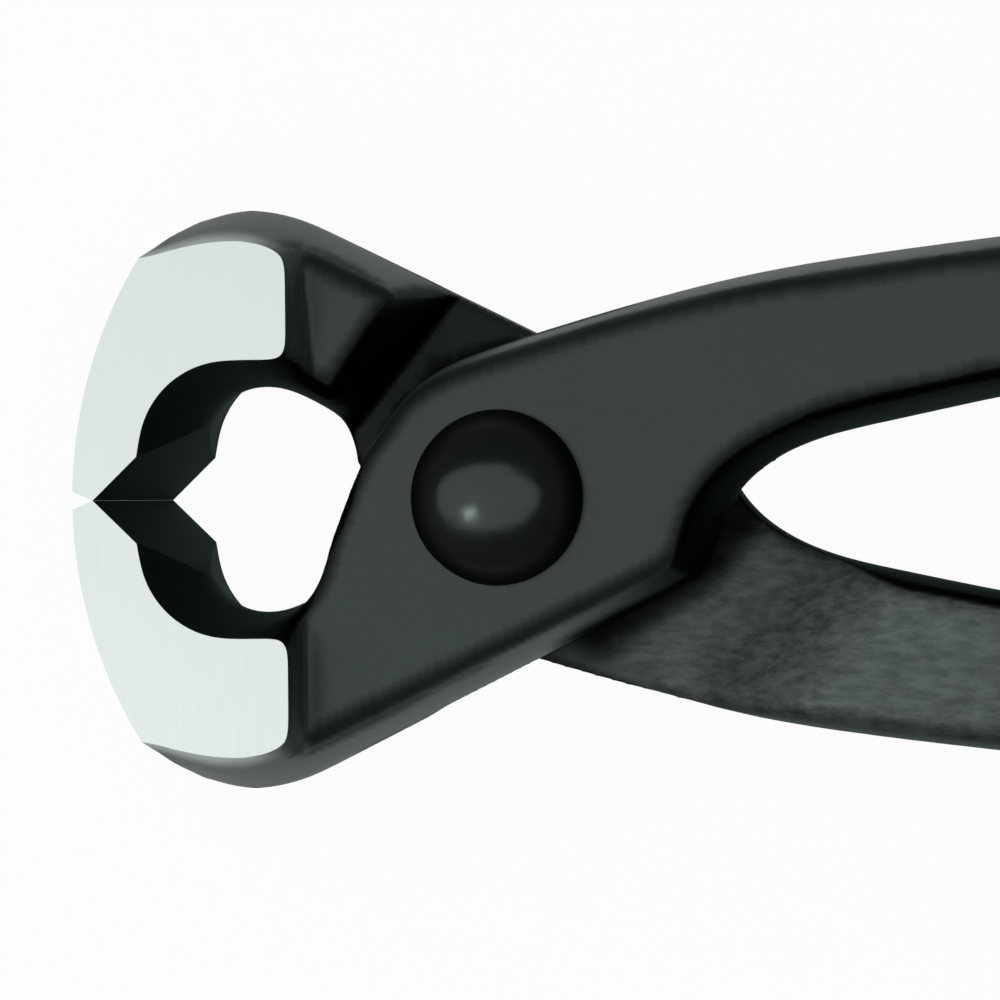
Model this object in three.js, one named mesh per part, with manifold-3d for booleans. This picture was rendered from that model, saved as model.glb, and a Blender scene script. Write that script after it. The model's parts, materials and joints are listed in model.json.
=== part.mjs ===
// Concreter's end nippers: two identical forged steel levers, lapped and riveted at one pivot.
// Millimetres, +Z up, with the tool lying flat and its jaws closed. +X runs from the nose to
// the handle ends, and the cutting edges meet on Y = 0. One lever is modelled about the pivot,
// with its parting plane on Z = 0, and the other is the same forging turned over.
import * as THREE from "three";
import { mergeVertices } from "three/addons/utils/BufferGeometryUtils.js";
import Module from "manifold-3d";

const wasm = await Module();
wasm.setup();

// Overall sizes
const LENGTH = 300; // nose to handle ends
const NOSE_REACH = 28.4; // pivot to nose
const HEAD_SPAN = 38.8; // across the backs of both jaws
const JAW_WIDTH = 21; // across a jaw's two ground side faces
const JOINT_THICKNESS = 14; // both laps together

// Forging, angles in degrees
const DRAFT = 10;
const FLASH_LAND = 0.6; // flat left along the parting line
const GRIND_STOCK = 3; // forged past the nose and ground away

// Fits
const LAP_CLEARANCE = 0.3; // between the two lap faces
const EDGE_CLEARANCE = 0.12; // between the closed cutting edges
const RIVET_CLEARANCE = 0.2; // round the shank and under each head
const SHOULDER_CLEARANCE = 1.1; // other lever's boss to the shoulder
const HEEL_CLEARANCE = 1; // other lever's heel to the foot of the ramp

// Jaw
const NOSE_RADIUS = 30.2;
const EDGE_SETBACK = 1.4; // cutting edge behind the nose
const EDGE_OUTER_SLOPE = 23.3; // ground bevel from the edge to the nose
const EDGE_INNER_SLOPE = 43.7; // ground bevel from the edge into the throat
const BEVEL_RUNOUT = 1.6; // inner bevel past the throat wall
const LIP = 6.2; // nose to throat wall
const THROAT_RADIUS = 4.6;
const THROAT_DEPTH = 7.65; // jaw line to throat floor
const PAD_LENGTH = 14.9; // nose to the end of the raised side faces
const PAD_STEP_LEAN = 6; // slope of the step down to the lap
const PAD_CORNER = 0.4;
const HUMP_RADIUS = 9; // rounded back of the jaw
const JAW_BACK_TAPER = 18; // slope from the hump to the nose

// Arm, boss and lap
const ARM_ANGLE = 25.5; // slope of the straight back
const ARM_OFFSET = 10.6; // pivot to that back
const HEEL_REACH = 9.9; // along that back, from abreast of the pivot to the heel
const HEEL_ROUND = 2.2;
const BOSS_RADIUS = 10.4;
const BOSS_START = 107.5; // where the handle's outer edge meets the boss
const ARM_ROOT_TURN = 20; // boss to throat floor, below the tool's axis
const FLOOR_RUN = 2.6; // throat floor before it rises to the boss
const WEB_START_TURN = 20; // boss to front web, above the tool's axis
const WEB_LEAN = 58; // slope at which the web leaves the boss
const WEB_PULL = 5;
const WEB_RUNOUT = 5.8; // web's fair run into the throat floor
const WEB_ROOT = 3; // web's reach into the jaw
const SHOULDER_TURN = 32; // shoulder's facing, below the tool's axis
const SHOULDER_DRAFT = 12.9;
const RAMP_TURN = 41; // ramp's facing, above the tool's axis
const RAMP_RUN = 12; // length of the ramp, which is S-shaped
const RAMP_RUNOUT = 0.15; // ramp's end past the back of the handle's root

// Handle
const ROOT_X = 24.6; // centre of the handle's root
const ROOT_Y = 10.5;
const ROOT_SLOPE = 9.6;
const ROOT_PULL = 58; // length over which the root's direction holds
const END_Y = 22.1; // tool's axis to the handle's end
const END_SLOPE = -1.7;
const END_PULL = 95;
const ROOT_WIDTH = 11.5;
const GRIP_WIDTH = 8.9;
const END_WIDTH = 9.6;
const ROOT_FLARE_POWER = 6; // how fast the root's flare dies away
const END_FLARE_POWER = 3; // how late the end's flare comes in
const GRIP_FRONT = 4.6; // parting plane to the grip's front
const GRIP_BACK = 4.2; // parting plane to the grip's back
const ROOT_BACK = 3.6; // parting plane to the root's back
const FACE_REACH = 18; // pivot to where the front starts to thin
const THINNING_PULL = 70; // length over which it thins most
const END_ROUND = 5;
const CROTCH_LEAN = 79; // slope at which the crotch leaves the heel
const CROTCH_PULL = 6.6;
const OUTER_PULL = 10; // fair run of the outer edge into the boss

// Rivet
const SHANK_DIAMETER = 7;
const HEAD_DIAMETER = 11.8;
const FRONT_HEAD_HEIGHT = 3.1;
const REAR_HEAD_HEIGHT = 2.6;

// Facets
const CURVE_STEPS = 10; // per curve of an outline
const HANDLE_STEPS = 26; // along a handle
const ROUND_STEPS = 48; // round the bore and rivet
const NOSE_STEPS = 160; // round the full nose cylinder
const DOME_STEPS = 8; // up a rivet head

const halfLap = LAP_CLEARANCE / 2;
const jointFace = JOINT_THICKNESS / 2;
const jawFace = JAW_WIDTH / 2;
const faceInset = draftInset(jointFace);
const handleEnd = LENGTH - NOSE_REACH;
const padEnd = PAD_LENGTH - NOSE_REACH;
const throat = new THREE.Vector2(LIP + THROAT_RADIUS - NOSE_REACH, THROAT_RADIUS - THROAT_DEPTH);
const heel = polar(ARM_OFFSET, ARM_ANGLE - 90).add(polar(HEEL_REACH, ARM_ANGLE));

function radians(degrees) {
  return THREE.MathUtils.degToRad(degrees);
}

function polar(radius, degrees) {
  return new THREE.Vector2(radius * Math.cos(radians(degrees)), radius * Math.sin(radians(degrees)));
}

// How far a drafted wall has drawn in at a height above the parting plane.
function draftInset(height) {
  return (height - FLASH_LAND / 2) * Math.tan(radians(DRAFT));
}

function solidOf(geometry) {
  geometry.deleteAttribute("normal");
  geometry.deleteAttribute("uv");
  const merged = mergeVertices(geometry);
  const vertProperties = merged.attributes.position.array;
  const triVerts = new Uint32Array(merged.index.array);
  return new wasm.Manifold(new wasm.Mesh({ numProp: 3, vertProperties, triVerts }));
}

function geometryOf(solid) {
  const { vertProperties, triVerts } = solid.getMesh();
  const geometry = new THREE.BufferGeometry();
  geometry.setAttribute("position", new THREE.BufferAttribute(vertProperties, 3));
  geometry.setIndex(new THREE.BufferAttribute(triVerts, 1));
  geometry.computeVertexNormals();
  return geometry;
}

// A plan outline forged in two dies: widest at the parting plane, drafted to both faces.
function forged(outline) {
  const inset = draftInset(jawFace);
  const geometry = new THREE.ExtrudeGeometry(outline, {
    depth: FLASH_LAND,
    curveSegments: CURVE_STEPS,
    bevelSegments: 1,
    bevelThickness: jawFace - FLASH_LAND / 2,
    bevelSize: inset,
    bevelOffset: -inset,
  });
  return solidOf(geometry.translate(0, 0, -FLASH_LAND / 2));
}

// A side profile, with x along the turned tool axis and y up, run right across the tool.
function across(profile, turn = 0) {
  const width = LENGTH;
  const geometry = new THREE.ExtrudeGeometry(profile, {
    depth: width,
    curveSegments: CURVE_STEPS,
    bevelEnabled: false,
  });
  geometry.rotateX(Math.PI / 2);
  geometry.translate(0, width / 2, 0);
  return solidOf(geometry.rotateZ(radians(turn)));
}

// Points along one edge of the handle, from root to end: side is 1 outside and -1 inside.
function handleEdge(side) {
  const root = new THREE.Vector2(ROOT_X, ROOT_Y);
  const end = new THREE.Vector2(handleEnd - END_WIDTH / 2, END_Y);
  const rootPull = polar(ROOT_PULL, ROOT_SLOPE).add(root);
  const endPull = polar(-END_PULL, END_SLOPE).add(end);
  const spine = new THREE.CubicBezierCurve(root, rootPull, endPull, end);
  return Array.from({ length: HANDLE_STEPS + 1 }, (_, step) => {
    const t = step / HANDLE_STEPS;
    const rootFlare = (ROOT_WIDTH - GRIP_WIDTH) * (1 - t) ** ROOT_FLARE_POWER;
    const endFlare = (END_WIDTH - GRIP_WIDTH) * t ** END_FLARE_POWER;
    const halfWidth = (GRIP_WIDTH + rootFlare + endFlare) / 2;
    const along = spine.getTangent(t);
    const outward = new THREE.Vector2(-along.y, along.x);
    return spine.getPoint(t).addScaledVector(outward, side * halfWidth);
  });
}

// Plan of one lever at its parting plane, anticlockwise from the rounded back of its jaw.
function leverOutline() {
  const armOut = polar(1, ARM_ANGLE - 90);
  const humpY = HUMP_RADIUS - HEAD_SPAN / 2;
  const humpX = (ARM_OFFSET - HUMP_RADIUS - humpY * armOut.y) / armOut.x;
  const heelStart = polar(-HEEL_ROUND, ARM_ANGLE).add(heel);
  const crotchStart = polar(HEEL_ROUND, CROTCH_LEAN).add(heel);
  const crotchPull = polar(CROTCH_PULL, CROTCH_LEAN).add(heel);
  const inner = handleEdge(-1);
  const innerRun = inner[0].clone().sub(inner[1]).setLength(CROTCH_PULL).add(inner[0]);
  const outer = handleEdge(1);
  const outerRun = outer[0].clone().sub(outer[1]).setLength(OUTER_PULL).add(outer[0]);
  const bossStart = polar(BOSS_RADIUS, BOSS_START);
  const bossRun = polar(OUTER_PULL, BOSS_START - 90).add(bossStart);
  const blankNose = -NOSE_REACH - GRIND_STOCK;
  const humpStart = polar(HUMP_RADIUS, 270 - JAW_BACK_TAPER).add(new THREE.Vector2(humpX, humpY));
  const taperRise = (humpStart.x - blankNose) * Math.tan(radians(JAW_BACK_TAPER));

  const outline = new THREE.Shape();
  const humpTurn = [radians(270 - JAW_BACK_TAPER), radians(270 + ARM_ANGLE)];
  outline.absarc(humpX, humpY, HUMP_RADIUS, ...humpTurn, false);
  outline.lineTo(heelStart.x, heelStart.y);
  outline.quadraticCurveTo(heel.x, heel.y, crotchStart.x, crotchStart.y);
  outline.bezierCurveTo(crotchPull.x, crotchPull.y, innerRun.x, innerRun.y, inner[0].x, inner[0].y);
  inner.slice(1, -1).forEach((point) => outline.lineTo(point.x, point.y));
  const endTurn = [radians(END_SLOPE - 90), radians(END_SLOPE + 90)];
  outline.absarc(handleEnd - END_WIDTH / 2, END_Y, END_WIDTH / 2, ...endTurn, false);
  outer.slice(0, -1).reverse().forEach((point) => outline.lineTo(point.x, point.y));
  outline.bezierCurveTo(outerRun.x, outerRun.y, bossRun.x, bossRun.y, bossStart.x, bossStart.y);
  outline.absarc(0, 0, BOSS_RADIUS, radians(BOSS_START), radians(180 + ARM_ROOT_TURN), false);
  outline.quadraticCurveTo(throat.x + FLOOR_RUN, -THROAT_DEPTH, throat.x, -THROAT_DEPTH);
  outline.absarc(throat.x, throat.y, THROAT_RADIUS, -Math.PI / 2, -Math.PI, true);
  outline.lineTo(throat.x - THROAT_RADIUS, GRIND_STOCK);
  outline.lineTo(blankNose, GRIND_STOCK);
  outline.lineTo(blankNose, humpStart.y + taperRise);
  return outline;
}

// Web that fills the corner between boss and throat on the front of the lap, with an upright edge
// that leaves the boss at its face and dies away under the throat's floor.
function frontWeb() {
  const floor = THROAT_DEPTH + faceInset;
  const start = polar(BOSS_RADIUS - faceInset, 180 - WEB_START_TURN);
  const startRun = polar(WEB_PULL, 180 + WEB_LEAN).add(start);
  const outline = new THREE.Shape();
  outline.moveTo(start.x, start.y);
  outline.bezierCurveTo(startRun.x, startRun.y, throat.x + WEB_RUNOUT, -floor, throat.x, -floor);
  outline.lineTo(throat.x, -floor - WEB_ROOT);
  outline.lineTo(0, -BOSS_RADIUS / 2);
  const depth = jointFace;
  const options = { depth, curveSegments: CURVE_STEPS, bevelEnabled: false };
  return solidOf(new THREE.ExtrudeGeometry(outline, options));
}

// Side view of the lap and handle, which thins from the joint to a rounded end.
function lapAndHandle() {
  const profile = new THREE.Shape();
  profile.moveTo(-LENGTH, -jointFace);
  profile.lineTo(0, -jointFace);
  profile.lineTo(0, -ROOT_BACK);
  profile.lineTo(handleEnd - END_ROUND, -GRIP_BACK);
  profile.quadraticCurveTo(handleEnd, -GRIP_BACK, handleEnd, 0);
  profile.quadraticCurveTo(handleEnd, GRIP_FRONT, handleEnd - END_ROUND, GRIP_FRONT);
  const grip = [handleEnd - END_ROUND - THINNING_PULL, GRIP_FRONT];
  profile.bezierCurveTo(...grip, FACE_REACH + THINNING_PULL, GRIP_FRONT, FACE_REACH, jointFace);
  profile.lineTo(-LENGTH, jointFace);
  return across(profile);
}

// Side view of the jaw, whose side faces stand proud of the lap and end in a rounded step.
function jawColumn() {
  const lean = Math.tan(radians(PAD_STEP_LEAN));
  const foot = padEnd + (jawFace - jointFace) * lean;
  const shoulder = padEnd + PAD_CORNER * lean;
  const profile = new THREE.Shape();
  profile.moveTo(-LENGTH, -jawFace);
  profile.lineTo(padEnd - PAD_CORNER, -jawFace);
  profile.quadraticCurveTo(padEnd, -jawFace, shoulder, PAD_CORNER - jawFace);
  profile.lineTo(foot, -jointFace);
  profile.lineTo(foot, jointFace);
  profile.lineTo(shoulder, jawFace - PAD_CORNER);
  profile.quadraticCurveTo(padEnd, jawFace, padEnd - PAD_CORNER, jawFace);
  profile.lineTo(-LENGTH, jawFace);
  return across(profile);
}

// Space cut behind the lap for the other lever, up to a wall whose points run from the lap down.
function lapSpace(wall, turn) {
  const near = new THREE.Vector2(-LENGTH, halfLap);
  const far = new THREE.Vector2(-LENGTH, -JAW_WIDTH);
  return across(new THREE.Shape([near, ...wall, far]), turn);
}

// Drafted wall round the other lever's boss.
function shoulderSpace() {
  const foot = BOSS_RADIUS + SHOULDER_CLEARANCE;
  const end = foot + (JAW_WIDTH + halfLap) * Math.tan(radians(SHOULDER_DRAFT));
  const wall = [new THREE.Vector2(foot, halfLap), new THREE.Vector2(end, -JAW_WIDTH)];
  return lapSpace(wall, 180 + SHOULDER_TURN);
}

// Fair ramp from the lap to the back of the handle, which starts at the other lever's heel.
function rampSpace() {
  const otherHeel = new THREE.Vector2(heel.x, -heel.y);
  const foot = otherHeel.dot(polar(1, RAMP_TURN)) + HEEL_CLEARANCE;
  const end = foot + RAMP_RUN;
  const middle = (foot + end) / 2;
  const depth = ROOT_BACK + RAMP_RUNOUT;
  const ramp = new THREE.CubicBezierCurve(
    new THREE.Vector2(foot, halfLap),
    new THREE.Vector2(middle, halfLap),
    new THREE.Vector2(middle, -depth),
    new THREE.Vector2(end, -depth),
  );
  return lapSpace([...ramp.getPoints(CURVE_STEPS), new THREE.Vector2(end, -JAW_WIDTH)], RAMP_TURN);
}

// Everything ground off outside the nose's curve.
function noseGrind() {
  const round = new THREE.CylinderGeometry(NOSE_RADIUS, NOSE_RADIUS, 2 * JAW_WIDTH, NOSE_STEPS);
  round.rotateX(Math.PI / 2);
  round.translate(NOSE_RADIUS - NOSE_REACH, 0, 0);
  const block = new THREE.BoxGeometry(2 * NOSE_REACH, HEAD_SPAN, JAW_WIDTH + GRIND_STOCK);
  block.translate(-NOSE_REACH, 0, 0);
  return solidOf(block).subtract(solidOf(round));
}

// Everything ground off above the cutting edge, between its outer and inner bevels.
function edgeGrind() {
  const edge = new THREE.Vector2(EDGE_SETBACK - NOSE_REACH, -EDGE_CLEARANCE / 2);
  const outerRun = NOSE_RADIUS;
  const innerRun = throat.x - THROAT_RADIUS + BEVEL_RUNOUT - edge.x;
  const top = 2 * GRIND_STOCK;
  const profile = new THREE.Shape();
  profile.moveTo(edge.x - outerRun, top);
  profile.lineTo(edge.x - outerRun, edge.y - outerRun * Math.tan(radians(EDGE_OUTER_SLOPE)));
  profile.lineTo(edge.x, edge.y);
  profile.lineTo(edge.x + innerRun, edge.y - innerRun * Math.tan(radians(EDGE_INNER_SLOPE)));
  profile.lineTo(edge.x + innerRun, top);
  const depth = 2 * JAW_WIDTH;
  const geometry = new THREE.ExtrudeGeometry(profile, { depth, bevelEnabled: false });
  return solidOf(geometry.translate(0, 0, -JAW_WIDTH));
}

function leverGeometry() {
  const boreRadius = SHANK_DIAMETER / 2 + RIVET_CLEARANCE;
  const bore = new THREE.CylinderGeometry(boreRadius, boreRadius, 2 * JAW_WIDTH, ROUND_STEPS);
  const blank = forged(leverOutline()).intersect(lapAndHandle().add(jawColumn()));
  const lapped = blank.add(frontWeb()).subtract(shoulderSpace().intersect(rampSpace()));
  const bored = lapped.subtract(solidOf(bore.rotateX(Math.PI / 2)));
  return geometryOf(bored.subtract(noseGrind()).subtract(edgeGrind()));
}

// Shank and two domed heads, turned as one.
function rivetGeometry() {
  const seat = jointFace + RIVET_CLEARANCE;
  const headRadius = HEAD_DIAMETER / 2;
  const shankRadius = SHANK_DIAMETER / 2;
  const rear = new THREE.EllipseCurve(0, -seat, headRadius, REAR_HEAD_HEIGHT, -Math.PI / 2, 0);
  const front = new THREE.EllipseCurve(0, seat, headRadius, FRONT_HEAD_HEIGHT, 0, Math.PI / 2);
  const profile = [
    ...rear.getPoints(DOME_STEPS),
    new THREE.Vector2(shankRadius, -seat),
    new THREE.Vector2(shankRadius, seat),
    ...front.getPoints(DOME_STEPS),
  ];
  return new THREE.LatheGeometry(profile, ROUND_STEPS).rotateX(Math.PI / 2);
}

const blackSteel = new THREE.MeshStandardMaterial({ color: "#3a4240", roughness: 0.5, metalness: 0.4 });
const rivetSteel = new THREE.MeshStandardMaterial({ color: "#242927", roughness: 0.35, metalness: 0.5 });

const lever = leverGeometry();
const frontLever = new THREE.Mesh(lever, blackSteel);
frontLever.name = "front_lever";
const rearLever = new THREE.Mesh(lever, blackSteel);
rearLever.name = "rear_lever";
rearLever.rotation.x = Math.PI;
const pivotRivet = new THREE.Mesh(rivetGeometry(), rivetSteel);
pivotRivet.name = "pivot_rivet";

// The origin is under the middle of the tool, on the surface that it lies on.
const nippers = new THREE.Group();
nippers.position.set(NOSE_REACH - LENGTH / 2, 0, jawFace);
nippers.add(rearLever, frontLever, pivotRivet);

export default nippers;
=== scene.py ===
"""Looks of a pair of concreter's end nippers: two blackened forgings with bright ground jaws,
lapped on one domed rivet. Metres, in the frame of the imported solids."""

import json
import math

import bpy
import numpy as np
from mathutils import Matrix, Vector


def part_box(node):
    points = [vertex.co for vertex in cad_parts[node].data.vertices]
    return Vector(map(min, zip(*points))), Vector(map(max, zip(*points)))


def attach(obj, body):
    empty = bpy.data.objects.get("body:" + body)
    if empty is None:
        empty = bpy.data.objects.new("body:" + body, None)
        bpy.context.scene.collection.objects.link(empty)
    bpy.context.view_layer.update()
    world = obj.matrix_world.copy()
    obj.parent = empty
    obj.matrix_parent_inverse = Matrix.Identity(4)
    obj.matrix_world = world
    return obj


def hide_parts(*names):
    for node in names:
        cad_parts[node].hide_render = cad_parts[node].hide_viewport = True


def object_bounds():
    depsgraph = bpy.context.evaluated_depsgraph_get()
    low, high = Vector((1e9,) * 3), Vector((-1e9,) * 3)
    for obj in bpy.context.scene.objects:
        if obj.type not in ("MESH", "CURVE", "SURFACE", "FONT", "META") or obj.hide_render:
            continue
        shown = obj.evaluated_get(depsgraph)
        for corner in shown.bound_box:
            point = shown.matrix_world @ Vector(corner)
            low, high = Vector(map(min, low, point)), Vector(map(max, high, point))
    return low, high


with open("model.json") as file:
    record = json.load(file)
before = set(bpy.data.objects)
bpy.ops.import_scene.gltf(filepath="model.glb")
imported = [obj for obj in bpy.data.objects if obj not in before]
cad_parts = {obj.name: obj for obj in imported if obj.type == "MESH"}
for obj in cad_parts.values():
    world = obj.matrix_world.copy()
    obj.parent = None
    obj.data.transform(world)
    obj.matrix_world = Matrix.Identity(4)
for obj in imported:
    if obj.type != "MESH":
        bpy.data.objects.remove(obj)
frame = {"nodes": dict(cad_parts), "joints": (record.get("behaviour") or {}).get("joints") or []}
cad_low, cad_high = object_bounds()

MM = 0.001
NEAR = 0.1 * MM  # vertices nearer than this count as being at a place

# Levers
JOINT_THICKNESS = 14 * MM
NOSE_RADIUS = 30.2 * MM
NOSE_FACETS = 256
EDGE_SETBACK = 1.4 * MM  # cutting edge behind the nose
EDGE_CLEARANCE = 0.003 * MM  # between the closed cutting edges
EDGE_OUTER_SLOPE = math.radians(23.3)
EDGE_INNER_SLOPE = math.radians(43.7)
EDGE_OUTER_RUN = 8 * MM
EDGE_INNER_RUN = 6.4 * MM
EDGE_STOCK = 1.5 * MM  # forged on the cutting edge and ground off again
GRIND_STOCK = 3 * MM  # the same on the nose and the pads
PAD_BAND = 1 * MM  # a level face within this of the lever's top or bottom belongs to a pad
PAD_FACING = 0.9  # least upward or downward share of a pad's normal
GROUND_FACING = 0.6  # least outward share of the nose's or the cutting edge's normal
BACK_CORNER = Vector((-20.7, -17.05)) * MM  # on a pad's outer edge, from the pivot
BACK_CORNER_RUN = Vector((6.3, -0.1))  # direction of that edge
BACK_CORNER_SLOPE = math.radians(32)  # of the slice along it, from upright

# Small moves that fit the front lever's solid to the softening, each with the place's ranges along,
# across and up from the pivot and its step, all in mm
RING_HEIGHT = 6 * MM  # of the rings of edges that are added above and below the lap
MOVES = {
    "jaw's back": (((-40, -9), (-40, -11), (-6.1, 6.1)), (0, -0.25, 0)),
    "back's upper ring beside the pad": (((-40, -14.5), (-40, -11), (5.9, 6.1)), (0, -0.12, 0)),
    "back's lower ring beside the pad": (((-40, -14.5), (-40, -11), (-6.1, -5.9)), (0, -0.12, 0)),
    "hump of the back": (((-21.4, -16.9), (-40, -11), (-0.5, 0.5)), (0, -0.1, 0)),
    "middle of the hump": (((-21.4, -18), (-40, -11), (-0.5, 0.5)), (0, -0.1, 0)),
    "boss's throat side": (((-12.3, -8.5), (-5, 3.5), (0.1, 40)), (-0.25, 0.05, 0)),
    "middle of the throat side": (((-12.3, -8.5), (-3.5, 3.5), (0.1, 40)), (-0.25, 0.05, 0)),
    "shoulder's foot by the throat": (((-11.1, -10.7), (-4.6, -4.2), (-0.45, 0.05)), (-0.8, -0.55, 0)),
    "inner edge of the neck": (((-13.3, -11.3), (-7.6, -6), (-7.1, -6.9)), (0.3, -1.05, 0)),
    "foot of the upper step": (((-13.2, -13), (-40, 40), (6.9, 7.1)), (-0.45, 0, 0)),
    "foot of the lower step": (((-13.2, -13), (-40, 40), (-7.1, -6.9)), (-0.45, 0, 0)),
}
PAD_INNER = ((-17.6, -13), (-9.5, -7.9))  # inner edge of the pads, along and across
PAD_HEIGHTS = ((7.1, 40), (-40, -7.1))  # above and below the joint's faces
PAD_INNER_LEVEL = -9.45 * MM
PAD_INNER_SHARE = 0.1  # of that edge's bend that is left

# Forged skin
MERGE_REACH = 0.001 * MM
SKIN_GRID = 0.3 * MM
SOFTENING_STEP = 0.5  # share of the way to the middle of the neighbours that a pass goes
SKIN_SOFTENING = 5  # smoothing passes all over
EDGE_SOFTENING = 90  # further passes everywhere but in the inside corners
WALL_SOFTENING = 110  # further passes on the walls alone
CORNER_DEPTH = 0.008 * MM  # least depth under the middle of the neighbours, or height over it at an edge
WALL_LEAN = 0.45  # most upward share of a wall's normal
CORNER_BAND = 4  # grid steps over which a corner or an edge fades out
LAP_EDGE_REACH = (13 * MM, 20 * MM)  # from the pivot, where the lap's edges stay sharper
LAP_EDGE_BAND = (0.6 * MM, 1.4 * MM)  # above and below the lap
LAP_EDGE_KEPT = 0.5  # share of the softening that they escape
STEP_EDGE_START = (-17 * MM, -15 * MM)  # along the tool, where the step's edges stay sharper
STEP_EDGE_RISE = (0.3 * MM, 1.3 * MM)  # over the joint's face
STEP_EDGE_KEPT = 0.75  # share of the softening that they escape
WEIGHT_STEPS = 16
SKIN_WAVE = 0.08 * MM  # height of the forging's unevenness
SKIN_WAVELENGTH = 9 * MM
SKIN_WAVE_REST = 0.6  # value of the waves' pattern that leaves the skin in place
SKIN_SHARE = 0.55  # triangles kept of the fine skin
CREASE = math.radians(28)  # a sharper edge than this stays crisp

# Places of the painted shade in the hollows, where little light reaches, in mm from the pivot
THROAT_MIDDLE = (-17, -13)
THROAT_END = (-7, -3)
GAP_START = (3, 6)
GAP_FOCUS = 30
LAP_REACH = (14, 17)
LAP_FLOOR = (-2.2, -0.3)
LAP_WALL = (2.2, 4.5)
LAP_START = (-0.6, 0)
LAP_SIDE = (-0.6, 0.6)
COVERED_X = (2, 5)
COVERED_Y = (-2, 2)
SHOULDER_TOP = 1
SHOULDER_TURN = math.radians(219)
SHOULDER_SHADE = (11.2, 12)
BOSS_SHADE = (10.5, 11.3)
HEEL = (12.5, -4.5)
HEEL_REACH = (1, 7)
OVERLAP = ((5.3, 8.9), (11.8, 5), (16, 0.5))  # other lever's edge over the handle
OVERLAP_REACH = (0.3, 3.8)
HANDLE_START = (6, 12)
HANDLE_SIDE = (2, 10)
TRIM_BAND = (0.35, 0.8)
BEVEL_SKIN = 0.01

# Places where the grinding of the pads runs out over the jaw's back, in mm from the pivot
RUN_OUT_END = (-16.5, -14)
RUN_OUT_SIDE = (-14.5, -13)
RUN_OUT_DEPTH = (-0.3, 2.6)  # under the pads

# Shares of a normal between which a surface comes to count as facing one way
WALL_FACING = (0.6, 0.9)
LAP_FACING = (0.3, 0.8)
FLOOR_FACING = (0.4, 0.8)
HOLLOW_FACING = (0.2, 0.5)

# Amounts of painted shade, drawn as matt black
SHOULDER_FLOOR = 0.45
BOSS_FLOOR = 0.75
OVERLAP_FLOOR = 0.85
HEEL_WALL = 0.6
THIN_SHADE = 0.25
HANDLE_WALL_SHADE = 0.5
PAINTED_EDGE_SHADE = (0.3, 0.6)  # painted shade on the forging's edges, from patch to patch
RIM_SHADE_SHARE = 0.85  # painted shade on the rivet's rims

# Rivet
RIVET_SEAT = 0.05 * MM  # head above the joint's face
SHANK_RADIUS = 3.5 * MM
RIVET_FACETS = 128
DOME_STEPS = 24
BLOW_WIDTH = 3.2 * MM  # hammer marks on the dome
BLOW_DEPTH = 0.07 * MM
BLOW_REST = 1  # value of the marks' pattern that leaves the dome in place
RIM_START = (0.66, 0.96)  # of the head's radius, where its painted shade starts and is most

# Colours, and where there are two, a pattern blends them
FACE_BLACKS = ((0.008, 0.012, 0.011, 1), (0.018, 0.024, 0.023, 1))
LAP_GREYS = ((0.032, 0.040, 0.039, 1), (0.106, 0.124, 0.121, 1))
# painted sheen: the upright walls lighter than the faces, as grazing light shows them
WALL_SHEEN_GREY = (0.030, 0.042, 0.041, 1)
TRIM_GREY = (0.075, 0.082, 0.080, 1)
RUN_OUT_GREY = (0.62, 0.69, 0.67, 1)
# painted shade: the near-black of the hollows, the edges and the rivet's rims
SHADE_BLACK = (0.0018, 0.0026, 0.0024, 1)
GROUND_GREYS = ((0.470, 0.513, 0.507, 1), (0.515, 0.558, 0.552, 1))
RIVET_BLACKS = ((0.002, 0.003, 0.003, 1), (0.005, 0.006, 0.006, 1))
FORGING_SHEEN = (0.82, 1, 0.98, 1)
RIVET_SHEEN = (0.85, 1, 0.97, 1)
FLOOR_GREY = (0.8, 0.8, 0.8, 1)
WHITE = (1, 1, 1, 1)

# Finishes
FACE_ROUGHNESS = (0.36, 0.46)
WALL_ROUGHNESS = 0.58
SHADE_ROUGHNESS = 0.95
GROUND_ROUGHNESS = (0.3, 0.42)
RIVET_ROUGHNESS = (0.15, 0.24)
RIM_ROUGHNESS = 0.9
BLACK_SPECULAR = 0.45
FLOOR_WHITENESS = 0.96  # share of the seen floor that is plain white, and the rest keeps the shadow

# Patterns, as repeats in a metre
FORGING_PATCHES = 160
FORGING_GRAIN = 2600
RIVET_PATCHES = 260
RIVET_GRAIN = 3200
STREAKS = (550, 1500, 1500)
GRINDING_LINES = (4000, 160, 4000)
PATCH_CONTRAST = (0.3, 0.7)  # noise values that become 0 and 1
STREAK_CONTRAST = (0.34, 0.64)

# Camera, seen from above and a little from the handles
VIEW_TILT = math.radians(13)
VIEW_ROLL = math.radians(0.45)
VIEW_DISTANCE = 640 * MM
VIEW_SCALE = 15 / MM  # pixels per metre at the joint's face
VIEW_OFFSET = (0.2 * MM, -0.167 * MM)  # middle of the picture, right of and above the pivot
PICTURE_SIDE = 1000

# Light and floor
BOX_HEIGHT = 1.0
BOX_SIZE = (0.95, 2.0)  # across and along the tool
BOX_RADIANCE = 1.3
SPARK_DIRECTION = Vector((-0.431, -0.201, 0.880))
SPARK_DISTANCE = 0.9
SPARK_SIZE = (0.012, 0.2)
SPARK_RADIANCE = 80
ROOM_GREY = 0.16
FLOOR_RADIUS = 6
FLOOR_FACETS = 96
FLOOR_DROP = 0.05 * MM

pivot = Vector(frame["joints"][0]["pos_m"])
lever_low, lever_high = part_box("front_lever")
rivet_low, rivet_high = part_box("pivot_rivet")
joint_face = JOINT_THICKNESS / 2
pad_height = (lever_high.z - lever_low.z) / 2
head_radius = (rivet_high.x - rivet_low.x) / 2
cutting_edge = Vector((lever_low.x + EDGE_SETBACK, -EDGE_CLEARANCE / 2, pivot.z))


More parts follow.
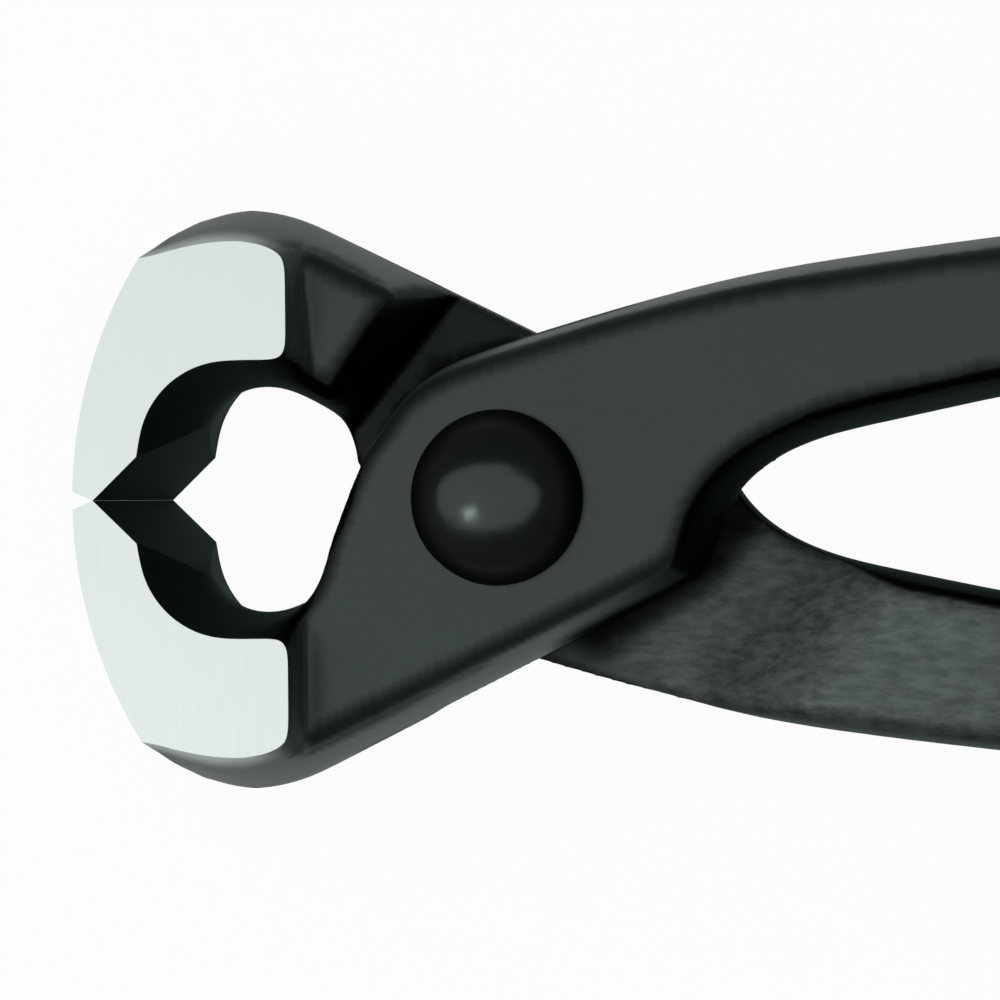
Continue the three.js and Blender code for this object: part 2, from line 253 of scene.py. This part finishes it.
# Modelling helpers
def activate(piece):
    """Makes a piece the only one that is selected."""
    bpy.ops.object.select_all(action="DESELECT")
    piece.select_set(True)
    bpy.context.view_layer.objects.active = piece


def pick(piece, element, wanted):
    """Opens a piece for editing with only the vertices or faces selected that pass a test."""
    activate(piece)
    bpy.ops.object.mode_set(mode="EDIT")
    bpy.ops.mesh.select_mode(type=element)
    bpy.ops.mesh.select_all(action="DESELECT")
    bpy.ops.object.mode_set(mode="OBJECT")
    parts = piece.data.vertices if element == "VERT" else piece.data.polygons
    for part in parts:
        part.select = wanted(part)
    bpy.ops.object.mode_set(mode="EDIT")


def pick_all(piece):
    """Opens a piece for editing with all its faces selected."""
    pick(piece, "FACE", lambda face: True)


def grow(piece, wanted, step):
    """Extrudes the faces that pass a test by one step."""
    pick(piece, "FACE", wanted)
    bpy.ops.mesh.extrude_region_move(TRANSFORM_OT_translate={"value": step})
    bpy.ops.object.mode_set(mode="OBJECT")


def shift(piece, wanted, step):
    """Moves the vertices that pass a test by one step."""
    pick(piece, "VERT", wanted)
    bpy.ops.transform.translate(value=step)
    bpy.ops.object.mode_set(mode="OBJECT")


def scale_across(piece, wanted, level, share):
    """Scales how far the vertices that pass a test lie from one level across the tool."""
    pick(piece, "VERT", wanted)
    bpy.ops.transform.resize(value=(1, share, 1), center_override=(0, level, 0))
    bpy.ops.object.mode_set(mode="OBJECT")


def add_ring(piece, height):
    """Adds a ring of edges round a piece at one height."""
    pick_all(piece)
    bpy.ops.mesh.bisect(plane_co=(0, 0, height), plane_no=(0, 0, 1))
    bpy.ops.object.mode_set(mode="OBJECT")


def within(vertex, ranges):
    """Whether a vertex lies in ranges along, across and up from the pivot, in mm."""
    place = (vertex.co - pivot) / MM
    return all(low < value < high for value, (low, high) in zip(place, ranges))


def apply_modifier(piece, kind, **settings):
    """Adds a modifier to a piece and applies it."""
    activate(piece)
    modifier = piece.modifiers.new(kind.lower(), kind)
    for name, value in settings.items():
        setattr(modifier, name, value)
    bpy.ops.object.modifier_apply(modifier=modifier.name)


def soften(piece, passes, **settings):
    """Smooths a piece or one of its vertex groups."""
    apply_modifier(piece, "SMOOTH", factor=SOFTENING_STEP, iterations=passes, **settings)


def displace(piece, name, width, height, rest):
    """Makes a piece's surface uneven by a cloudy pattern of one width and height."""
    clouds = bpy.data.textures.new(name, "CLOUDS")
    clouds.noise_scale = width
    apply_modifier(
        piece, "DISPLACE", texture=clouds, texture_coords="LOCAL", strength=height, mid_level=rest
    )


def settle(piece):
    """Puts a piece's place into its mesh and leaves its object at the origin."""
    activate(piece)
    bpy.ops.object.transform_apply(location=True, rotation=True, scale=True)


def read_rows(piece, kind, name, width):
    """All values of one kind from a piece's vertices or edges, as rows."""
    parts = getattr(piece.data, kind)
    values = np.empty(len(parts) * width, np.float32 if kind == "vertices" else np.int32)
    parts.foreach_get(name, values)
    return values.reshape(-1, width)


def ramp(low, high, values):
    """Runs smoothly from 0 to 1 as values go from low to high."""
    shares = np.clip((values - low) / (high - low), 0, 1)
    return shares * shares * (3 - 2 * shares)


def fade_out(ends, marked):
    """Weights that fall from 1 at the marked vertices to 0 some grid steps away."""
    weights = marked.astype(float)
    for _ in range(CORNER_BAND):
        reach = weights[ends].max(axis=1) - 1 / CORNER_BAND
        np.maximum.at(weights, ends[:, 0], reach)
        np.maximum.at(weights, ends[:, 1], reach)
    return weights


def add_group(piece, name, weights):
    """Keeps a vertex group of those weights, in steps."""
    steps = np.round(weights * WEIGHT_STEPS).astype(int)
    group = piece.vertex_groups.new(name=name)
    for step in range(1, WEIGHT_STEPS + 1):
        group.add(np.nonzero(steps == step)[0].tolist(), step / WEIGHT_STEPS, "REPLACE")


def paint(piece, name, amount):
    """Keeps a value at each vertex, worked out from places in mm round the pivot and from normals."""
    places = (read_rows(piece, "vertices", "co", 3) - np.array(pivot)) / MM
    normals = read_rows(piece, "vertices", "normal", 3)
    layer = piece.data.attributes.new(name, "FLOAT", "POINT")
    layer.data.foreach_set("value", amount(places, normals).astype(np.float32))


def paint_group(piece, group_name, name):
    """Keeps a vertex group's weights as a value at each vertex."""
    group = piece.vertex_groups[group_name].index
    layer = piece.data.attributes.new(name, "FLOAT", "POINT")
    for vertex in piece.data.vertices:
        layer.data[vertex.index].value = sum(part.weight for part in vertex.groups if part.group == group)


# Shader helpers
def add_node(tree, kind, inputs=None, **settings):
    """Adds a shader node, with each input set to a value or fed by another node's socket."""
    node = tree.nodes.new("ShaderNode" + kind)
    for name, value in settings.items():
        setattr(node, name, value)
    feed(tree, node, inputs or {})
    return node


def feed(tree, node, inputs):
    """Sets a node's inputs to values or links them to other nodes' sockets."""
    for name, value in inputs.items():
        if isinstance(value, bpy.types.NodeSocket):
            tree.links.new(value, node.inputs[name])
        else:
            node.inputs[name].default_value = value


def painted(tree, name):
    """A value that is kept at the piece's vertices."""
    return add_node(tree, "Attribute", attribute_name=name).outputs["Fac"]


def combine(tree, operation, first, second):
    """The result of one operation on two values."""
    return add_node(tree, "Math", {0: first, 1: second}, operation=operation).outputs[0]


def blend_values(tree, share, first, second):
    """Runs from the first value to the second as the share goes from 0 to 1."""
    return add_node(tree, "MapRange", {"Value": share, "To Min": first, "To Max": second}).outputs["Result"]


def stretch(tree, value, low, high):
    """Runs from 0 to 1 as a value goes from low to high."""
    return add_node(tree, "MapRange", {"Value": value, "From Min": low, "From Max": high}).outputs["Result"]


def blend_colours(tree, share, first, second):
    """Runs from the first colour to the second as the share goes from 0 to 1."""
    mix = add_node(tree, "Mix", data_type="RGBA")
    ends = {socket.identifier: index for index, socket in enumerate(mix.inputs)}
    feed(tree, mix, {"Factor": share, ends["A_Color"]: first, ends["B_Color"]: second})
    return next(socket for socket in mix.outputs if socket.identifier == "Result_Color")


def drawn_out(tree, here, repeats):
    """Coordinates with their own number of repeats along, across and up."""
    return add_node(tree, "Mapping", {"Vector": here, "Scale": repeats}).outputs["Vector"]


def noise(tree, here, repeats, detail, roughness):
    """Cloudy noise, as values from 0 to 1."""
    inputs = {"Vector": here, "Scale": repeats, "Detail": detail, "Roughness": roughness}
    return add_node(tree, "TexNoise", inputs).outputs["Fac"]


def relief(tree, height, strength, distance):
    """Normals of a surface with a fine relief."""
    inputs = {"Height": height, "Strength": strength, "Distance": distance}
    return add_node(tree, "Bump", inputs).outputs["Normal"]


def new_material(name):
    """An empty material's tree with its shader and its Object coordinates."""
    material = bpy.data.materials.new(name)
    material.use_nodes = True
    shader = material.node_tree.nodes["Principled BSDF"]
    here = add_node(material.node_tree, "TexCoord").outputs["Object"]
    return material, material.node_tree, shader, here


def forged_skin_group():
    """Patchy scale and fine grain of a hot-forged surface, as masks from 0 to 1."""
    group = bpy.data.node_groups.new("forged_skin", "ShaderNodeTree")
    group.interface.new_socket("Vector", in_out="INPUT", socket_type="NodeSocketVector")
    for name in ("Patch Scale", "Grain Scale"):
        group.interface.new_socket(name, in_out="INPUT", socket_type="NodeSocketFloat")
    for name in ("Patches", "Grain"):
        group.interface.new_socket(name, in_out="OUTPUT", socket_type="NodeSocketFloat")
    source = group.nodes.new("NodeGroupInput").outputs
    patches = noise(group, source["Vector"], source["Patch Scale"], detail=6, roughness=0.62)
    grain = noise(group, source["Vector"], source["Grain Scale"], detail=4, roughness=0.55)
    sink = group.nodes.new("NodeGroupOutput")
    feed(group, sink, {"Patches": stretch(group, patches, *PATCH_CONTRAST), "Grain": grain})
    return group


def skin(tree, group, here, patches, grain):
    """Places the forged skin in a material and gives its patches and grain."""
    node = tree.nodes.new("ShaderNodeGroup")
    node.node_tree = group
    feed(tree, node, {"Vector": here, "Patch Scale": patches, "Grain Scale": grain})
    return node.outputs["Patches"], node.outputs["Grain"]


# Finishes of the pieces and the floor
def black_steel(skin_group):
    """Blackened forging: satin on its faces, streaky on the lap side, with walls painted lighter and
    painted shade, matt black, in its hollows and on its edges.
    """
    material, tree, shader, here = new_material("black_forged_steel")
    patches, grain = skin(tree, skin_group, here, FORGING_PATCHES, FORGING_GRAIN)
    streaks = noise(tree, drawn_out(tree, here, STREAKS), 1, detail=7, roughness=0.65)
    wall = painted(tree, "wall")
    run_out = painted(tree, "run_out")
    torn = combine(tree, "MULTIPLY", painted(tree, "trim"), patches)
    # painted shade along the edges, in patches, none where the grinding runs out
    edge_shade_amount = blend_values(tree, run_out, blend_values(tree, patches, *PAINTED_EDGE_SHADE), 0)
    edge_shade = combine(tree, "MULTIPLY", painted(tree, "edge"), edge_shade_amount)
    # all painted shade on the forging, kept in the attribute scale
    scale = combine(tree, "MAXIMUM", painted(tree, "scale"), edge_shade)

    faces = blend_colours(tree, patches, *FACE_BLACKS)
    laps = blend_colours(tree, stretch(tree, streaks, *STREAK_CONTRAST), *LAP_GREYS)
    # painted sheen: upright walls blend to a lighter grey
    upright = blend_colours(tree, wall, faces, WALL_SHEEN_GREY)
    sides = blend_colours(tree, painted(tree, "lap_side"), upright, laps)
    trimmed = blend_colours(tree, torn, sides, TRIM_GREY)
    ground = blend_colours(tree, run_out, trimmed, RUN_OUT_GREY)
    satin = blend_values(tree, patches, *FACE_ROUGHNESS)
    walls = blend_values(tree, wall, satin, WALL_ROUGHNESS)
    feed(tree, shader, {
        "Base Color": blend_colours(tree, scale, ground, SHADE_BLACK),
        "Metallic": scale,
        "Roughness": blend_values(tree, scale, walls, SHADE_ROUGHNESS),
        "Specular IOR Level": BLACK_SPECULAR,
        "Specular Tint": FORGING_SHEEN,
        "Normal": relief(tree, grain, strength=0.4, distance=0.06 * MM),
    })
    return material


def ground_steel():
    """Bright steel, ground across the jaws."""
    material, tree, shader, here = new_material("ground_steel")
    lines = noise(tree, drawn_out(tree, here, GRINDING_LINES), 1, detail=4, roughness=0.5)
    feed(tree, shader, {
        "Base Color": blend_colours(tree, lines, *GROUND_GREYS),
        "Metallic": 1,
        "Roughness": blend_values(tree, lines, *GROUND_ROUGHNESS),
        "Normal": relief(tree, lines, strength=0.12, distance=0.02 * MM),
    })
    return material


def rivet_black(skin_group):
    """Blackened rivet, smoother than the forgings, with painted shade, matt black, round its rim."""
    material, tree, shader, here = new_material("black_rivet_steel")
    patches, grain = skin(tree, skin_group, here, RIVET_PATCHES, RIVET_GRAIN)
    # painted shade on the rims, kept in the attribute scale
    scale = painted(tree, "scale")
    crown = blend_colours(tree, patches, *RIVET_BLACKS)
    satin = blend_values(tree, patches, *RIVET_ROUGHNESS)
    feed(tree, shader, {
        "Base Color": blend_colours(tree, scale, crown, SHADE_BLACK),
        "Metallic": scale,
        "Roughness": blend_values(tree, scale, satin, RIM_ROUGHNESS),
        "Specular IOR Level": BLACK_SPECULAR,
        "Specular Tint": RIVET_SHEEN,
        "Normal": relief(tree, grain, strength=0.15, distance=0.03 * MM),
    })
    return material


def floor_white():
    """Pale floor that shows white behind the object and keeps a soft shadow."""
    material, tree, shader, _ = new_material("pale_floor")
    feed(tree, shader, {"Base Color": FLOOR_GREY, "Roughness": 1, "Specular IOR Level": 0})
    path = add_node(tree, "LightPath").outputs
    seen = combine(tree, "MAXIMUM", path["Is Camera Ray"], path["Is Glossy Ray"])
    shown = combine(tree, "MAXIMUM", seen, path["Is Transmission Ray"])
    share = combine(tree, "MULTIPLY", shown, FLOOR_WHITENESS)
    white = add_node(tree, "Emission", {"Color": WHITE, "Strength": 1})
    mix = add_node(tree, "MixShader", {0: share, 1: shader.outputs[0], 2: white.outputs[0]})
    tree.links.new(mix.outputs[0], tree.nodes["Material Output"].inputs["Surface"])
    return material


# Levers
def forged_blank(black):
    """The front lever's solid with stock on its ground faces, skinned, softened and made uneven."""
    mesh = frame["nodes"]["front_lever"].data.copy()
    forging = bpy.data.objects.new("front_forging", mesh)
    bpy.context.scene.collection.objects.link(forging)
    mesh.materials.clear()
    mesh.materials.append(black)
    pick_all(forging)
    bpy.ops.mesh.remove_doubles(threshold=MERGE_REACH)
    bpy.ops.object.mode_set(mode="OBJECT")

    fit_solid(forging)
    add_stock(forging)
    for side in (1, -1):
        round_back_corner(forging, side)
    soften_skin(forging)
    displace(forging, "forging_waves", SKIN_WAVELENGTH, SKIN_WAVE, SKIN_WAVE_REST)
    apply_modifier(forging, "DECIMATE", ratio=SKIN_SHARE)
    return forging


def fit_solid(forging):
    """Makes the small moves and levels the inner edge of the pads."""
    for height in (pivot.z + RING_HEIGHT, pivot.z - RING_HEIGHT):
        add_ring(forging, height)
    for ranges, step in MOVES.values():
        shift(forging, lambda vertex: within(vertex, ranges), Vector(step) * MM)
    for heights in PAD_HEIGHTS:
        inner_edge = (*PAD_INNER, heights)
        scale_across(forging, lambda vertex: within(vertex, inner_edge), PAD_INNER_LEVEL, PAD_INNER_SHARE)


def add_stock(forging):
    """Grows the cutting edge, the nose and the pads, which are ground down again later."""
    throat_wall = cutting_edge.x + EDGE_INNER_RUN - EDGE_STOCK

    def at_edge(face):
        in_front = face.center.x < throat_wall and face.center.y > -EDGE_INNER_RUN
        return in_front and face.normal.y > GROUND_FACING

    def at_nose(face):
        return face.center.x < throat_wall and face.normal.x < -GROUND_FACING

    def at_pad(face, side):
        height = (face.center.z - pivot.z) * side
        return height > pad_height - PAD_BAND and face.normal.z * side > PAD_FACING

    grow(forging, at_edge, (0, EDGE_STOCK, 0))
    grow(forging, at_nose, (-GRIND_STOCK, 0, 0))
    for side in (1, -1):
        grow(forging, lambda face: at_pad(face, side), (0, 0, GRIND_STOCK * side))


def round_back_corner(forging, side):
    """Slices off the corner between the jaw's back and one pad, where the forging is rounded."""
    rise = BACK_CORNER_RUN.length * math.tan(BACK_CORNER_SLOPE)
    pick_all(forging)
    bpy.ops.mesh.bisect(
        plane_co=pivot + Vector((*BACK_CORNER, pad_height * side)),
        plane_no=(BACK_CORNER_RUN.y, -BACK_CORNER_RUN.x, rise * side),
        use_fill=True,
        clear_outer=True,
    )
    bpy.ops.object.mode_set(mode="OBJECT")


def soften_skin(forging):
    """Skins a forging with a fine grid and rounds its edges, most of all those of its walls."""
    apply_modifier(forging, "REMESH", mode="VOXEL", voxel_size=SKIN_GRID)
    soften(forging, SKIN_SOFTENING)
    group_corners(forging)
    soften(forging, EDGE_SOFTENING, vertex_group="kept", invert_vertex_group=True)
    group_walls(forging)
    soften(forging, WALL_SOFTENING, vertex_group="walls")


def group_corners(piece):
    """Groups the edges, which lie over the middle of their neighbours, and what stays as it is:
    the inside corners, which lie under it, and most of the lap's and the steps' edges."""
    places = read_rows(piece, "vertices", "co", 3)
    normals = read_rows(piece, "vertices", "normal", 3)
    ends = read_rows(piece, "edges", "vertices", 2)
    sums = np.zeros_like(places)
    counts = np.zeros((len(places), 1))
    for here, there in ((0, 1), (1, 0)):
        np.add.at(sums, ends[:, here], places[ends[:, there]])
        np.add.at(counts, ends[:, here], 1)
    depths = ((sums / counts - places) * normals).sum(axis=1)
    edges = fade_out(ends, depths < -CORNER_DEPTH)
    inside = fade_out(ends, depths > CORNER_DEPTH) * (1 - edges)
    add_group(piece, "edges", edges)
    add_group(piece, "kept", np.maximum(inside, edges * sharper_edge_amount(places)))


def group_walls(piece):
    """Groups the walls, which stand nearly upright, but not the edges of the lap and the steps."""
    places = read_rows(piece, "vertices", "co", 3)
    normals = read_rows(piece, "vertices", "normal", 3)
    upright = abs(normals[:, 2]) < WALL_LEAN
    add_group(piece, "walls", upright * (1 - sharper_edge_amount(places)))


def sharper_edge_amount(places):
    """How much of the softening places escape at the lap's edges and the steps' edges."""
    return np.maximum(lap_edge_amount(places), step_edge_amount(places))


def lap_edge_amount(places):
    """The same at the level of the lap, near the pivot."""
    from_pivot = np.linalg.norm(places[:, :2] - np.array(pivot)[:2], axis=1)
    from_lap = abs(places[:, 2] - pivot.z)
    return LAP_EDGE_KEPT * (1 - ramp(*LAP_EDGE_REACH, from_pivot)) * (1 - ramp(*LAP_EDGE_BAND, from_lap))


def step_edge_amount(places):
    """The same up the step under a pad."""
    rise = abs(places[:, 2] - pivot.z) - joint_face
    return STEP_EDGE_KEPT * ramp(*STEP_EDGE_RISE, rise) * ramp(*STEP_EDGE_START, places[:, 0] - pivot.x)


def nose_form(ground):
    """Round of the nose, as thick as the jaws and run out past the handles."""
    centre = Vector((lever_low.x + NOSE_RADIUS, 0, pivot.z))
    bpy.ops.mesh.primitive_cylinder_add(
        vertices=NOSE_FACETS, radius=NOSE_RADIUS, depth=2 * pad_height, location=centre
    )
    form = bpy.context.active_object
    form.data.materials.append(ground)
    settle(form)
    reach = lever_high.x - lever_low.x
    shift(form, lambda vertex: vertex.co.x > centre.x + NEAR, (reach, 0, 0))
    return form


def edge_form(ground, black):
    """Wedge over the cutting edge, with the outer and inner bevels underneath."""
    width = EDGE_OUTER_RUN + EDGE_INNER_RUN
    depth = 4 * pad_height
    middle = cutting_edge + Vector(((EDGE_INNER_RUN - EDGE_OUTER_RUN) / 2, width / 2, 0))
    bpy.ops.mesh.primitive_cube_add(size=1, location=middle, scale=(width, width, depth))
    form = bpy.context.active_object
    form.data.materials.append(ground)
    form.data.materials.append(black)
    settle(form)
    pick_all(form)
    bpy.ops.mesh.bisect(plane_co=cutting_edge, plane_no=(1, 0, 0))
    bpy.ops.object.mode_set(mode="OBJECT")

    def under(vertex, side):
        return vertex.co.y < cutting_edge.y + NEAR and (vertex.co.x - cutting_edge.x) * side > NEAR

    outer_drop = EDGE_OUTER_RUN * math.tan(EDGE_OUTER_SLOPE)
    inner_drop = EDGE_INNER_RUN * math.tan(EDGE_INNER_SLOPE)
    shift(form, lambda vertex: under(vertex, -1), (0, -outer_drop, 0))
    shift(form, lambda vertex: under(vertex, 1), (0, -inner_drop, 0))
    for face in form.data.polygons:
        face.material_index = int(face.center.x > cutting_edge.x)
    return form


def grind(forging, form, operation):
    """Cuts a forging with a form, whose faces bring their own finish."""
    apply_modifier(
        forging, "BOOLEAN", operation=operation, solver="EXACT", object=form, material_mode="TRANSFER"
    )
    bpy.data.objects.remove(form)


def levers(black, ground):
    """Front and rear levers, which are the same forging turned over."""
    front = forged_blank(black)
    grind(front, nose_form(ground), "INTERSECT")
    grind(front, edge_form(ground, black), "DIFFERENCE")
    activate(front)
    bpy.ops.object.shade_smooth_by_angle(angle=CREASE)
    paint(front, "wall", wall_amount)
    paint(front, "trim", trim_amount)
    paint(front, "run_out", run_out_amount)
    paint(front, "lap_side", lap_amount)
    # painted shade in the hollows, drawn as matt black and kept in the attribute scale
    paint(front, "scale", shade_amount)
    # edges that the black steel darkens with painted shade
    paint_group(front, "edges", "edge")

    rear = bpy.data.objects.new("rear_forging", front.data.copy())
    bpy.context.scene.collection.objects.link(rear)
    pick_all(rear)
    bpy.ops.transform.rotate(value=math.pi, orient_axis="X", center_override=pivot)
    bpy.ops.object.mode_set(mode="OBJECT")
    return front, rear


# Painted values of the levers, from places in mm round the pivot and from normals
def wall_amount(places, normals):
    """Walls, which stand nearly upright."""
    return ramp(*WALL_FACING, np.linalg.norm(normals[:, :2], axis=1))


def trim_amount(places, normals):
    """Line round the walls where the forging's flash was trimmed off."""
    return wall_amount(places, normals) * (1 - ramp(*TRIM_BAND, abs(places[:, 2])))


def run_out_amount(places, normals):
    """Edge of the jaw's back, where the grinding of the pads runs out."""
    x, y, z = places.T
    depth = pad_height / MM - abs(z)
    return (1 - ramp(*RUN_OUT_END, x)) * (1 - ramp(*RUN_OUT_SIDE, y)) * (1 - ramp(*RUN_OUT_DEPTH, depth))


def lap_amount(places, normals):
    """Handle's lap side."""
    return ramp(*HANDLE_SIDE, places[:, 0]) * ramp(*LAP_FACING, -normals[:, 2])


def shade_amount(places, normals):
    """The most painted shade that any of the hollows gets."""
    hollows = (throat_shade, bevel_shade, gap_shade, shoulder_wall_shade, lap_floor_shade, lap_wall_shade)
    return np.max([hollow(places, normals) for hollow in hollows], axis=0)


def facing(places, normals, target_x):
    """How squarely walls look towards places on the tool's long axis, from 0 to 1."""
    toward = np.stack((target_x - places[:, 0], -places[:, 1]), axis=1)
    toward /= np.linalg.norm(toward, axis=1, keepdims=True)
    return ramp(*HOLLOW_FACING, (normals[:, :2] * toward).sum(axis=1))


def nearness(places, target, reach):
    """Falls from 1 to 0 between two distances from a place in plan."""
    return 1 - ramp(*reach, np.linalg.norm(places[:, :2] - target, axis=1))


def line_nearness(places, points, reach):
    """Falls from 1 to 0 between two distances from a line of points in plan."""
    gaps = []
    for start, end in zip(np.array(points[:-1]), np.array(points[1:])):
        run = end - start
        shares = np.clip((places[:, :2] - start) @ run / (run @ run), 0, 1)
        gaps.append(np.linalg.norm(places[:, :2] - start - shares[:, None] * run, axis=1))
    return 1 - ramp(*reach, np.min(gaps, axis=0))


def throat_shade(places, normals):
    """Painted shade on the walls of the throat behind the cutting edges."""
    x = places[:, 0]
    return facing(places, normals, np.clip(x, *THROAT_MIDDLE)) * (1 - ramp(*THROAT_END, x))


def bevel_shade(places, normals):
    """Painted shade on the inner bevel of the cutting edge."""
    behind = places[:, 0] - (cutting_edge.x - pivot.x) / MM
    bevel = (cutting_edge.y - pivot.y) / MM - behind * math.tan(EDGE_INNER_SLOPE)
    inside = (behind > -BEVEL_SKIN) & (behind < EDGE_INNER_RUN / MM) & (places[:, 1] > bevel - BEVEL_SKIN)
    return inside.astype(float)


def gap_shade(places, normals):
    """Painted shade on the walls of the gap between the handles."""
    x = places[:, 0]
    return facing(places, normals, np.maximum(GAP_FOCUS, x)) * ramp(*GAP_START, x)


def shoulder_wall_shade(places, normals):
    """Painted shade on the shoulder that the other lever's boss turns in."""
    behind = (places[:, 2] < SHOULDER_TOP) & (places[:, 0] < 0)
    return facing(places, normals, 0) * nearness(places, (0, 0), LAP_REACH) * behind


def lap_floor_shade(places, normals):
    """Painted shade on the lap's floor: deep at the shoulder and round the other lever's boss, edge and
    heel, where their shadow falls, and thin between.
    """
    x, y, z = places.T
    down = ramp(*FLOOR_FACING, -normals[:, 2])
    along = x * math.cos(SHOULDER_TURN) + y * math.sin(SHOULDER_TURN)
    by_boss = BOSS_FLOOR * (1 - ramp(*BOSS_SHADE, np.hypot(x, y)))
    by_shoulder = np.maximum(SHOULDER_FLOOR, np.maximum(ramp(*SHOULDER_SHADE, along), by_boss)) * (x < 0)
    by_overlap = OVERLAP_FLOOR * line_nearness(places, OVERLAP, OVERLAP_REACH)
    return down * np.maximum(ramp(*LAP_FLOOR, z) * np.maximum(THIN_SHADE, by_shoulder), by_overlap)


def lap_wall_shade(places, normals):
    """Painted shade at the foot of the walls over the other lever, round the heel and along the handle's
    lap side.
    """
    x, y, z = places.T
    above = ramp(*LAP_START, z)
    covered = np.maximum(ramp(*COVERED_X, x), ramp(*COVERED_Y, y)) * above
    foot = nearness(places, (0, 0), LAP_REACH) * (1 - ramp(*LAP_WALL, z)) * covered
    heel = HEEL_WALL * nearness(places, HEEL, HEEL_REACH) * above
    handle = HANDLE_WALL_SHADE * (1 - ramp(*LAP_SIDE, z)) * ramp(*HANDLE_START, x)
    return wall_amount(places, normals) * np.maximum(np.maximum(foot, heel), handle)


# Rivet
def domed_rivet(black):
    """Shank with a domed head on each face, drawn up in steps from its two ends."""
    bpy.ops.mesh.primitive_cylinder_add(
        vertices=RIVET_FACETS, radius=SHANK_RADIUS, depth=2 * (joint_face + RIVET_SEAT), location=pivot
    )
    rivet = bpy.context.active_object
    rivet.name = "domed_rivet"
    rivet.data.materials.append(black)
    settle(rivet)
    draw_head(rivet, 1, rivet_high.z - pivot.z)
    draw_head(rivet, -1, pivot.z - rivet_low.z)
    displace(rivet, "rivet_blows", BLOW_WIDTH, BLOW_DEPTH, BLOW_REST)
    activate(rivet)
    bpy.ops.object.shade_smooth_by_angle(angle=CREASE)
    # painted shade round the heads' rims
    paint(rivet, "scale", rivet_rim_shade)
    return rivet


def draw_head(rivet, side, top):
    """Spreads the shank's end to the head's rim, then draws it in along an ellipse."""
    seat = joint_face + RIVET_SEAT
    pick(rivet, "FACE", lambda face: (face.center.z - pivot.z) * side > joint_face)
    last = SHANK_RADIUS
    rise = 0
    for step in range(DOME_STEPS):
        turn = math.pi / 2 * step / DOME_STEPS
        ring = head_radius * math.cos(turn)
        lift = (top - seat) * math.sin(turn)
        bpy.ops.mesh.extrude_region_move(TRANSFORM_OT_translate={"value": (0, 0, side * (lift - rise))})
        bpy.ops.transform.resize(value=(ring / last, ring / last, 1), center_override=pivot)
        last = ring
        rise = lift
    bpy.ops.mesh.merge(type="CENTER")
    bpy.ops.object.mode_set(mode="OBJECT")


def rivet_rim_shade(places, normals):
    """Painted shade on the rims of the rivet's heads, in place of their reflection."""
    return RIM_SHADE_SHARE * ramp(*RIM_START, np.linalg.norm(places[:, :2], axis=1) / (head_radius / MM))


# Camera, light and floor
def add_camera():
    """Camera at the picture's viewing angle, aimed near the pivot at the joint's face."""
    back = Vector((math.sin(VIEW_TILT), 0, math.cos(VIEW_TILT)))
    right = Vector((math.cos(VIEW_TILT), 0, -math.sin(VIEW_TILT)))
    up = Vector((0, 1, 0))
    aim = pivot + Vector((0, 0, joint_face)) + VIEW_OFFSET[0] * right + VIEW_OFFSET[1] * up
    rolled_right = right * math.cos(VIEW_ROLL) - up * math.sin(VIEW_ROLL)
    rolled_up = up * math.cos(VIEW_ROLL) + right * math.sin(VIEW_ROLL)
    camera = bpy.data.objects.new("camera", bpy.data.cameras.new("camera"))
    bpy.context.scene.collection.objects.link(camera)
    turn = Matrix((rolled_right, rolled_up, back)).transposed().to_4x4()
    camera.matrix_world = Matrix.Translation(aim + back * VIEW_DISTANCE) @ turn
    camera.data.lens = camera.data.sensor_width * VIEW_SCALE * VIEW_DISTANCE / PICTURE_SIDE
    bpy.context.scene.camera = camera


def add_lamp(name, direction, distance, size, radiance):
    """Oval lamp at a distance from the joint, aimed at it, with the power for its radiance."""
    data = bpy.data.lights.new(name, "AREA")
    data.shape = "ELLIPSE"
    data.size, data.size_y = size
    data.energy = radiance * math.pi**2 / 4 * data.size * data.size_y
    lamp = bpy.data.objects.new(name, data)
    bpy.context.scene.collection.objects.link(lamp)
    lamp.location = pivot + direction * distance
    lamp.rotation_mode = "QUATERNION"
    lamp.rotation_quaternion = direction.to_track_quat("Z", "Y")


def add_studio():
    """Soft box that the level faces mirror, a small spark, a grey room and a pale floor."""
    mirrored = Vector((-math.sin(VIEW_TILT), 0, math.cos(VIEW_TILT)))
    add_lamp("soft_box", mirrored, BOX_HEIGHT, BOX_SIZE, BOX_RADIANCE)
    add_lamp("spark", SPARK_DIRECTION, SPARK_DISTANCE, SPARK_SIZE, SPARK_RADIANCE)
    room = bpy.data.worlds.new("room")
    room.use_nodes = True
    room.node_tree.nodes["Background"].inputs["Color"].default_value = (ROOM_GREY,) * 3 + (1,)
    bpy.context.scene.world = room
    bpy.ops.object.select_all(action="DESELECT")
    bpy.ops.mesh.primitive_circle_add(
        vertices=FLOOR_FACETS,
        radius=FLOOR_RADIUS,
        fill_type="NGON",
        location=(0, 0, cad_low.z - FLOOR_DROP),
    )
    floor = bpy.context.active_object
    floor.name = "floor"
    floor.data.materials.append(floor_white())
    bpy.context.scene.view_settings.view_transform = "Standard"


add_camera()
add_studio()
skin_group = forged_skin_group()
front_forging, rear_forging = levers(black_steel(skin_group), ground_steel())
rivet_piece = domed_rivet(rivet_black(skin_group))

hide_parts("front_lever")
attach(front_forging, "front_half")
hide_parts("rear_lever")
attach(rear_forging, "rear_half")
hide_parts("pivot_rivet")
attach(rivet_piece, "front_half")
